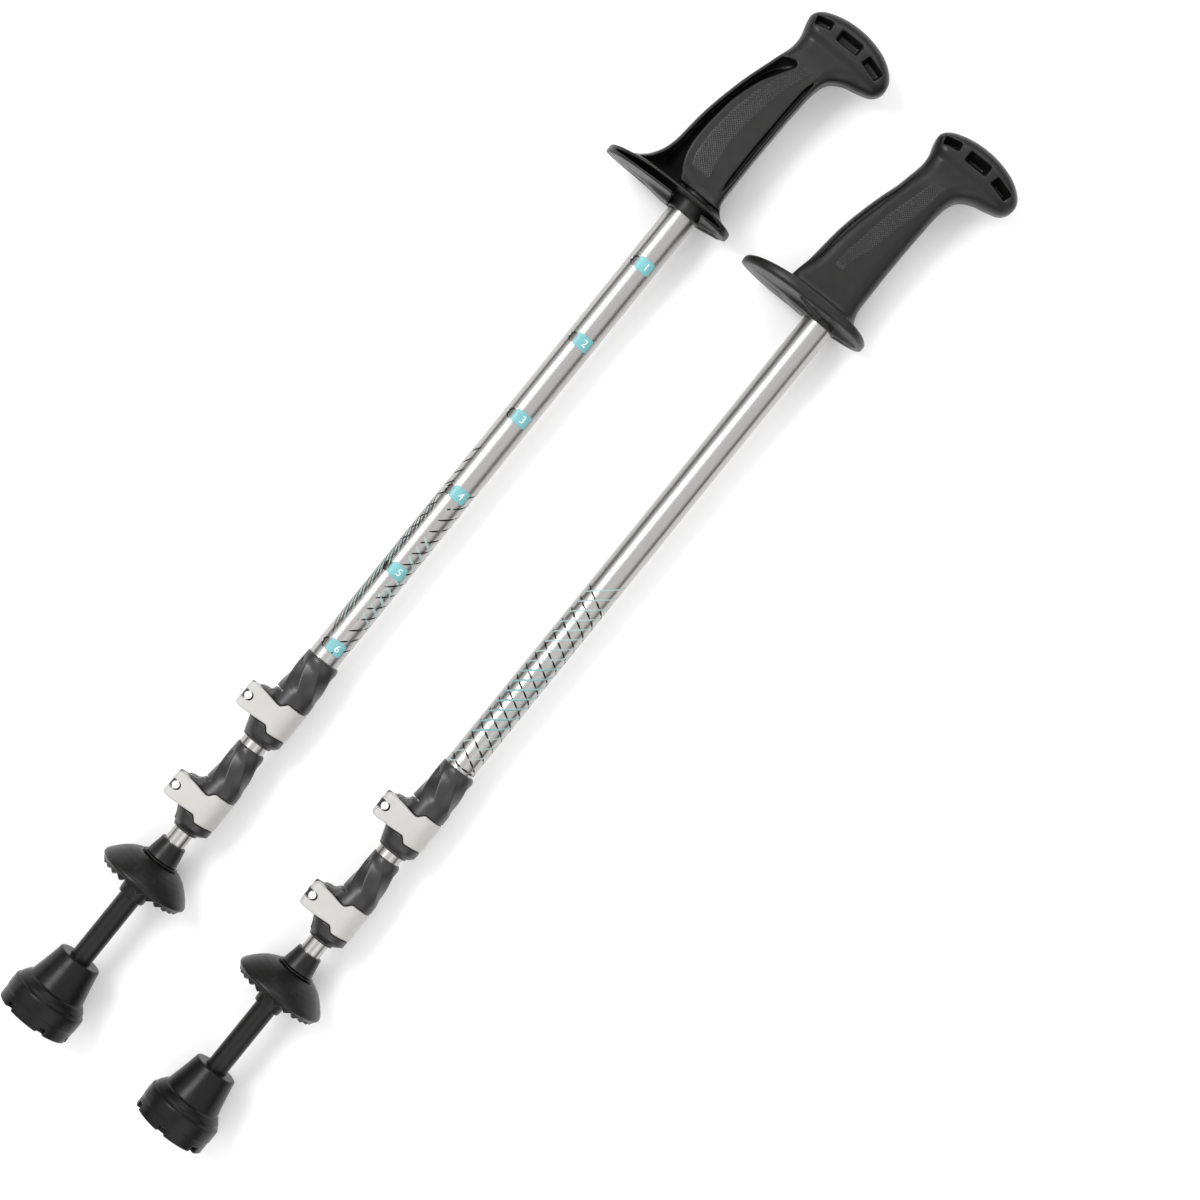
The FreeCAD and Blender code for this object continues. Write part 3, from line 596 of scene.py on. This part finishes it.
def make_handles():
    """Handle, pad and patch of both poles. The right pole lies with its closed side up."""
    shell = surface(handle_distance, (563, -47, -30), (711, 58, 30), 0.75)
    pad = knurled_patch(
        [(590, -1), (600, 1), (612, 3), (630, 2), (645, 0), (655, -2), (665, -6), (673, -8)],
        [(590, 12.5), (597, 15.5), (612, 16.4), (630, 14.6), (645, 11), (655, 7.5), (665, 2.5), (673, -2)],
        590, 673, 1)
    patch = knurled_patch(
        [(598, 9), (612, 5), (620, 2), (640, -2), (660, -7), (674, -8)],
        [(598, 16), (612, 15), (620, 13), (640, 9), (660, 3.5), (674, 0)], 598, 674, -1)
    pieces = (
        ("handle_moulding", shell, "grip_plastic", "handle"),
        ("grip_knurl", pad, "grip_rubber", "grip_pad"),
        ("grip_back_knurl", patch, "grip_rubber", "grip_patch"),
    )
    for side in SIDES:
        turned = side == "right"
        for name, mesh, material, replaced in pieces:
            points, faces = shortened(mesh) if turned else mesh
            place(f"{side}_{name}", points, faces, side, "upper_section", MATERIALS[material], material,
                  [replaced], turned)


# ------------------------------------------------------------------ clamps and levers

CLAMP_LENGTH = 58.3
LEVER_CENTRE = 18.2
SCREW_OFFSET = 18.8
PIN_HEIGHT = 8.6


def clamp_distance(inner, outer):
    """Distance function of a clamp body for tubes of two radii; u starts at its nose."""
    def distance(u, v, w):
        radius = np.hypot(v, w)
        angle = np.arctan2(w, v)
        far = (1 - v / np.maximum(radius, 0.1)) / 2
        lip = inner + 1.5
        nose_near = np.interp(u, (0, 1.6, 2.2, 10, 12), (lip, lip + 0.2, lip + 0.6, 12.3, 12.6))
        nose_far = np.interp(u, (0, 1.6, 2.2, 4.4, 12), (lip, lip + 0.2, lip + 1.6, 12.4, 12.6))
        sleeve_near = np.interp(u, (25, 33, 56, CLAMP_LENGTH), (11.0, outer + 1.7, outer + 0.7, outer + 0.5))
        sleeve_far = np.interp(u, (25, 33, 56, CLAMP_LENGTH), (12.7, 12.6, outer + 2.2, outer + 1.5))
        near = np.where(u < 18, nose_near, sleeve_near)
        away = np.where(u < 18, nose_far, sleeve_far)
        wall = near + (away - near) * far
        fade = ease(u, 33.5, 39) * (1 - ease(u, 50, 56.5))
        wall = wall - 0.8 * fade * np.abs(np.sin(3.5 * angle + 0.16 * (u - 34))) ** 0.9
        body = blend_max(radius - wall, slab(u, 0.05, CLAMP_LENGTH), 0.7)
        waist = np.maximum(LEVER_PLAN(u - LEVER_CENTRE, v) - 0.45, 9.8 - radius)
        under = np.maximum.reduce([slab(u, LEVER_CENTRE - 9.0, LEVER_CENTRE + 9.6), 9.8 - radius, w, v])
        body = blend_max(body, -np.minimum(waist, under), 0.4)

        reach = np.clip(v, 7, SCREW_OFFSET)
        ear = np.hypot(v - reach, w) - 4.1
        ear = blend_max(np.maximum(ear, 6.5 - v), slab(u, LEVER_CENTRE - 7.0, LEVER_CENTRE + 7.2), 0.8)
        top = np.interp(u, (24, 25.4, 26.6, 27.3, 27.4, 28.2, 29.8, 30.4),
                        (19, 18.4, 17, 14.6, 12.6, 11.4, 9.9, 9.2))
        cheek = np.maximum.reduce([v - top, 4 - v, np.abs(w) - np.interp(v, (4, 21), (8.6, 5.2)),
                                   slab(u, 24.0, 30.5)])
        web = np.maximum.reduce([v - np.interp(u, (2, 7, 10), (8.5, 9.4, 11.6)), 5 - v, np.abs(w) - 4.1,
                                 slab(u, 3, LEVER_CENTRE - 6.8)])
        body = blend_min(body, ear, 1.2)
        body = blend_min(body, cheek, 1.2)
        body = blend_min(body, web, 1.2)

        slit = np.maximum.reduce([np.abs(w) - 0.6, u - 31.2, 2 - v])
        ring = np.maximum.reduce([slab(u, 30.6, 32.0), 5.5 - v])
        hole = np.hypot(u - LEVER_CENTRE, v - SCREW_OFFSET) - 2.17
        bore = radius - np.where(u < 33.1, inner + 0.06, outer + 0.02)
        for gap in (slit, ring, hole):
            body = blend_max(body, -gap, 0.3)
        return np.maximum(body, -bore)
    return distance


def arc(centre, radius, first, last, count=12):
    """Points along an arc, angles in degrees."""
    angles = np.radians(np.linspace(first, last, count))
    return [(centre[0] + radius * math.cos(a), centre[1] + radius * math.sin(a)) for a in angles]


LEVER_SECTION = Outline(
    [(SCREW_OFFSET, PIN_HEIGHT + 4.2)]
    + arc((0, 0), 12.75, 90, 200, 20) + arc((0, 0), 10.12, 200, 90, 20)
    + arc((SCREW_OFFSET, PIN_HEIGHT), 4.15, 160, 450, 24), step=0.2, margin=4)
LEVER_PLAN = Outline(
    smooth_loop([
        (-7.4, 20.4), (-7.3, 11.8), (-6.7, 3.8), (-6.6, 1.2), (-7.8, -0.4), (-9.5, -2.1), (-9.5, -5),
        (-9.1, -10), (-8.4, -13.6), (0, -14), (9.2, -13.6), (9.3, -10), (9.5, -5), (9.5, -2.1),
        (7.8, -0.4), (6.3, 1.2), (6.2, 3.8), (7.4, 10.8), (7.9, 15.8), (7.8, 20), (6.0, 22.4),
        (0, 22.6), (-6.0, 22.5),
    ]), step=0.2, margin=4)


def lever_distance(u, v, w):
    """Forked cam lever, u from its own middle."""
    body = blend_max(LEVER_SECTION(v, w), LEVER_PLAN(u, v), 1.1)
    notch = np.where(v > SCREW_OFFSET - 0.6, np.abs(u), np.hypot(u, v - SCREW_OFFSET + 0.6)) - 2.65
    body = blend_max(body, -np.maximum(notch, 14 - v), 0.5)
    pin = np.hypot(v - SCREW_OFFSET, w - PIN_HEIGHT) - 1.16
    return np.maximum(body, -pin)


def nut_distance(u, v, w):
    """Knurled nut, centred on its own axis, which is w."""
    radius = np.hypot(u, v)
    rim = 4.55 - 0.3 * np.abs(np.sin(12 * np.arctan2(v, u)))
    body = blend_max(radius - rim, np.abs(w) - 2.48, 0.5)
    return np.maximum(body, 2.22 - radius)


def make_clamps():
    """Clamp bodies, levers and nuts of both poles."""
    lever = surface(lever_distance, (-11, -14.5, -6), (11, 26, 14.5), 0.4)
    nut = surface(nut_distance, (-5, -5, -3), (5, 5, 3), 0.3)
    for section in ("upper", "lower"):
        begin = CLAMP_BEGIN[section]
        inner, outer = (TUBE_RADIUS[tube] for tube in CLAMP_TUBES[section])
        body = surface(clamp_distance(inner, outer), (-1, -14, -14), (60, 26, 14), 0.5)
        holder = "upper_section" if section == "upper" else "middle_section"
        for side in SIDES:
            place(f"{side}_{section}_clamp_moulding", body[0] + (begin, 0, 0), body[1], side, holder,
                  MATERIALS["clamp_plastic"], "clamp_plastic", [f"{section}_clamp"])
            place(f"{side}_{section}_lever_moulding", lever[0] + (begin + LEVER_CENTRE, 0, 0), lever[1],
                  side, f"{section}_lever", MATERIALS["lever_plastic"], "lever_plastic",
                  [f"{section}_lever"])
            place(f"{side}_{section}_nut_knurled", nut[0] + (begin + LEVER_CENTRE, SCREW_OFFSET, -6.9),
                  nut[1], side, f"{section}_nut", MATERIALS["clamp_plastic"], "clamp_plastic",
                  [f"{section}_adjusting_nut"])


# ------------------------------------------------------------------ basket and boot

def basket_distance(u, v, w):
    """Bell-shaped basket with a crown of pointed teeth on its open rim."""
    radius = np.hypot(v, w)
    outer = np.interp(u, (92.6, 93.3, 96.3, 96.9, 97.6, 98.8, 100.4, 103, 105.7, 108.4, 110.2, 111.2),
                      (24.2, 24.7, 26.5, 27.2, 27.4, 27.2, 26.2, 24.0, 21.4, 18.2, 15.0, 12.6))
    tooth = np.abs(np.mod(24 * np.arctan2(w, v) / (2 * math.pi), 1) - 0.5)
    edge = 93.1 + 5.2 * tooth
    shell = blend_max((radius - outer) * 0.72, (edge - u) * 0.75, 0.15)
    shell = blend_max(shell, u - 110.9, 0.2)
    pit = np.maximum(radius - np.interp(u, (92, 95.6, 99), (21.6, 23.2, 21.6)), u - 98.6)
    shell = blend_max(shell, -pit, 0.3)
    hub = np.interp(u, (85.5, 87, 91, 99), (7.8, 8.1, 8.4, 9.6))
    hub = blend_max(radius - hub, slab(u, 85.5, 100), 0.4)
    neck = np.maximum(radius - 9.2, slab(u, 108, 112.6))
    band = np.maximum(radius - 11.3, slab(u, 111.6, 112.3))
    body = np.minimum(np.minimum(blend_min(shell, hub, 0.6), neck), band)
    return np.maximum(body, 7.26 - radius)


def boot_distance(u, v, w):
    """Bell-shaped rubber foot with six notches in its rim; one of them is at +v."""
    radius = np.hypot(v, w)
    rim = blend_max(radius - 22.28, slab(u, 0.0, 15.4), 0.9)
    shoulder = blend_max(radius - np.interp(u, (12, 14.5, 18, 20.8, 21.4), (22.2, 22.0, 20.6, 18.4, 17.2)),
                         slab(u, 8, 21.5), 0.8)
    cone = blend_max(radius - np.interp(u, (18, 21.5, 26, 34, 42), (18.2, 17.3, 16.2, 14.4, 12.9)),
                     slab(u, 10, 42.0), 0.9)
    body = blend_min(blend_min(rim, shoulder, 1.5), cone, 0.5)
    sector = math.pi / 3
    angle = np.mod(np.arctan2(w, v) + sector / 2, sector) - sector / 2
    notch = rounded_box(u, radius * np.sin(angle), radius, (0, 0, 24), (3.8, 2.2, 5.8), 0.6)
    body = blend_max(body, -notch, 0.4)
    tread = np.maximum(np.abs(np.mod(radius + 1.5, 6.0) - 3.0) - 0.7, np.maximum(u - 0.8, radius - 17))
    body = blend_max(body, -tread, 0.3)
    return np.maximum(body, -np.maximum(radius - 6.37, 9.6 - u))


BOOT_TURN = {"left": 55, "right": 85}  # a notch's angle from +v towards +w, in degrees


def make_feet():
    """Basket and boot of both poles."""
    basket = surface(basket_distance, (84.6, -28.3, -28.3), (113.4, 28.3, 28.3), 0.42)
    boot = surface(boot_distance, (-1.2, -23.4, -23.4), (43.2, 23.4, 23.4), 0.6)
    for side in SIDES:
        place(f"{side}_basket_bell", *basket, side, "basket", MATERIALS["tip_plastic"], "tip_plastic",
              ["basket"])
        turn = math.radians(BOOT_TURN[side])
        cosine, sine = math.cos(turn), math.sin(turn)
        spin = np.array([(1, 0, 0), (0, cosine, sine), (0, -sine, cosine)])
        place(f"{side}_boot_bell", boot[0] @ spin, boot[1], side, "boot", MATERIALS["boot_rubber"],
              "boot_rubber", ["rubber_boot"])


# ------------------------------------------------------------------ prints on the upper tube

PRINT_LIFT = 0.03
PRINT_BEGIN = 254.6  # just beyond the end of the upper clamp
# in degrees round the tube
LINE_STEP = 8  # between the corners of a printed line
LINE_GAP = 3  # left free on each side of a crossing
LINE_END = 5  # no crossing breaks a line so near to its ends


def on_tube(u, angle, lift):
    """Point on the upper tube; the angle is in degrees from +v towards +w."""
    radius = TUBE_RADIUS["upper"] + lift
    swing = math.radians(angle)
    return (u, radius * math.cos(swing), radius * math.sin(swing))


def helix_lines(starts, slope, spans, width, lift, crossings=()):
    """
    Thin printed lines wound round the tube. Every line has its own place along the pole at
    90 degrees; slope is millimetres along the pole per 100 degrees. Each line is broken
    where it meets one of the crossing lines, which are (starts, slope).
    """
    pieces = []
    for start in starts:
        breaks = []
        for other_starts, other_slope in crossings:
            breaks += [90 + 100 * (other - start) / (slope - other_slope) for other in other_starts]
        for first, last in spans:
            edges = [first]
            for angle in sorted(breaks):
                if first + LINE_END < angle < last - LINE_END:
                    edges += [angle - LINE_GAP, angle + LINE_GAP]
            edges.append(last)
            pieces += [(start, *edges[i:i + 2]) for i in range(0, len(edges), 2)]
    points, faces = [], []
    for start, first, last in pieces:
        count = max(3, int((last - first) / LINE_STEP))
        base = len(points)
        for number in range(count + 1):
            share = number / count
            angle = first + (last - first) * share
            middle = max(PRINT_BEGIN + width, start + slope * (angle - 90) / 100)
            half = width / 2 * (0.35 + 0.65 * abs(math.sin(math.pi * share)) ** 0.4)
            for height in (0, lift):
                points.append(on_tube(middle - half, angle, height))
                points.append(on_tube(middle + half, angle, height))
        for number in range(count):
            a = base + number * 4
            b = a + 4
            faces += [(a + 2, a + 3, b + 3, b + 2), (a, b, b + 1, a + 1),
                      (a, a + 2, b + 2, b), (a + 1, b + 1, b + 3, a + 3)]
        end = base + count * 4
        faces += [(base, base + 1, base + 3, base + 2), (end, end + 2, end + 3, end + 1)]
    return points, faces


def row(begin, end, pitch):
    """Evenly spaced places."""
    return [begin + pitch * number for number in range(int((end - begin) / pitch) + 1)]


def label_patch(centre_u, centre_angle, half_u, half_arc, corner, lift):
    """Closed thin rounded square wrapped on the tube."""
    count = 16
    points, faces = [], []
    degrees_per_mm = math.degrees(1 / TUBE_RADIUS["upper"])
    for height in (0.0, lift):
        for line in range(count + 1):
            for column in range(count + 1):
                x = half_u * (2 * line / count - 1)
                y = half_arc * (2 * column / count - 1)
                over_x = abs(x) - half_u + corner
                over_y = abs(y) - half_arc + corner
                if over_x > 0 and over_y > 0:
                    pull = min(1, corner / math.hypot(over_x, over_y))
                    x = math.copysign(half_u - corner + over_x * pull, x)
                    y = math.copysign(half_arc - corner + over_y * pull, y)
                points.append(on_tube(centre_u + x, centre_angle + y * degrees_per_mm, height))
    wide = count + 1
    layer = wide * wide
    for line in range(count):
        for column in range(count):
            a = line * wide + column
            quad = (a, a + wide, a + wide + 1, a + 1)
            faces.append(tuple(i + layer for i in quad))
            faces.append(quad[::-1])
    rim = [line * wide for line in range(wide)] + [count * wide + column for column in range(1, wide)]
    rim += [line * wide + count for line in range(count - 1, -1, -1)] + list(range(count - 1, 0, -1))
    for a, b in zip(rim, rim[1:] + rim[:1]):
        faces.append((a, b, b + layer, a + layer))
    return points, faces


def numeral(text, centre_u, centre_angle, height, lift):
    """Solid numeral wrapped on the tube, its top towards the handle."""
    curve = bpy.data.curves.new("numeral", "FONT")
    curve.body = text
    curve.size = height * 1.4
    curve.extrude = 0.5
    curve.align_x = "CENTER"
    curve.align_y = "CENTER"
    curve.resolution_u = 4
    holder = bpy.data.objects.new("numeral", curve)
    bpy.context.collection.objects.link(holder)
    bpy.context.view_layer.update()
    mesh = holder.evaluated_get(bpy.context.evaluated_depsgraph_get()).to_mesh()
    shape = bmesh.new()
    shape.from_mesh(mesh)
    for cut_x in np.arange(-height / 2, height / 2, 0.35):
        bmesh.ops.bisect_plane(shape, geom=shape.verts[:] + shape.edges[:] + shape.faces[:],
                               plane_co=(cut_x, 0, 0), plane_no=(1, 0, 0))
    degrees_per_mm = math.degrees(1 / TUBE_RADIUS["upper"])
    low = PRINT_LIFT
    points = [on_tube(centre_u + p.co.y, centre_angle + p.co.x * degrees_per_mm,
                      low + (lift if p.co.z > 0 else -0.02)) for p in shape.verts]
    faces = [[p.index for p in face.verts] for face in shape.faces]
    shape.free()
    bpy.data.objects.remove(holder)
    return points, faces


def joined(parts):
    """Several (points, faces) as one mesh."""
    points, faces = [], []
    for part_points, part_faces in parts:
        base = len(points)
        points += list(part_points)
        faces += [tuple(int(i) + base for i in face) for face in part_faces]
    return points, faces


def make_prints():
    """Patterns on both tubes and the numbered labels beside the left tube's holes."""
    low, high = PRINT_LIFT * 0.6, PRINT_LIFT
    bands = row(264, 350, 7.8)
    left = {
        "print_black": joined([
            helix_lines(row(258.7, 372, 7.75), 11.7, [(101, 163), (170, 250), (258, 330)], 1.25, high,
                        [(row(240, 420, 11.3), -8)]),
            helix_lines(row(342, 404, 7.75), 15, [(24, 57)], 1.4, high),
            helix_lines(row(262, 350, 3.9), -24, [(18, 62)], 1.25, high),
        ]),
        "print_mint": helix_lines(bands[1:8], -24, [(20, 61)], 1.9, low),
        "print_pale": joined([
            helix_lines(bands[8:], -24, [(20, 61)], 1.6, low),
            helix_lines(row(289, 344, 6.6), -8, [(100, 168), (174, 300)], 1.9, low),
        ]),
    }
    crossing = row(247, 400, 7.0)
    right = {
        "print_black": helix_lines(row(254.8, 381, 7.9), -7.7, [(30, 153), (160, 250), (256, 340)], 1.25,
                                   high, [(crossing, 12.5)]),
        "print_mint": helix_lines(row(282, 330, 7.0), 12.5, [(20, 165), (176, 330)], 1.6, low),
        "print_pale": joined([
            helix_lines(row(261, 281, 7.0), 12.5, [(20, 68), (95, 165), (176, 330)], 0.8, low),
            helix_lines(row(331, 384, 7.0), 12.5, [(20, 165), (176, 330)], 1.1, low),
        ]),
    }
    holes = row(262.9, 532, 53.72)
    label_angle = 103
    left["print_teal"] = joined([label_patch(u + 0.6, label_angle + 1, 4.0, 5.3, 1.3, high) for u in holes])
    left["print_white"] = joined([
        numeral(str(6 - number), u + 0.6, label_angle + 8, 4.4, high) for number, u in enumerate(holes)])
    for side, prints in (("left", left), ("right", right)):
        for material, part in prints.items():
            place(f"{side}_{material}", *part, side, "upper_section", MATERIALS[material], "anodised_tube")


# ------------------------------------------------------------------ making


def dress_frame():
    """Finish on every CAD node that stays in sight."""
    slots = {entry["node"]: entry["material_slot"] for entry in frame["record"]["subparts"]}
    for name, part in frame["nodes"].items():
        material = MATERIALS[slots[name]]
        if not part.material_slots:
            part.data.materials.append(material)
        for slot_place in part.material_slots:
            slot_place.material = material


def make_springs():
    """Each button's hairpin spring as a piece of its own, riding on the middle section."""
    for side in SIDES:
        part = frame["nodes"][f"{side}_button_spring"]
        mesh = part.data.copy()
        mesh.transform(part.matrix_world)
        piece = bpy.data.objects.new(f"{side}_hairpin_strip", mesh)
        bpy.context.collection.objects.link(piece)
        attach(piece, f"{side}_middle_section")
        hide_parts(f"{side}_button_spring")
        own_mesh(piece)


dress_frame()
make_handles()
make_clamps()
make_feet()
make_prints()
make_springs()
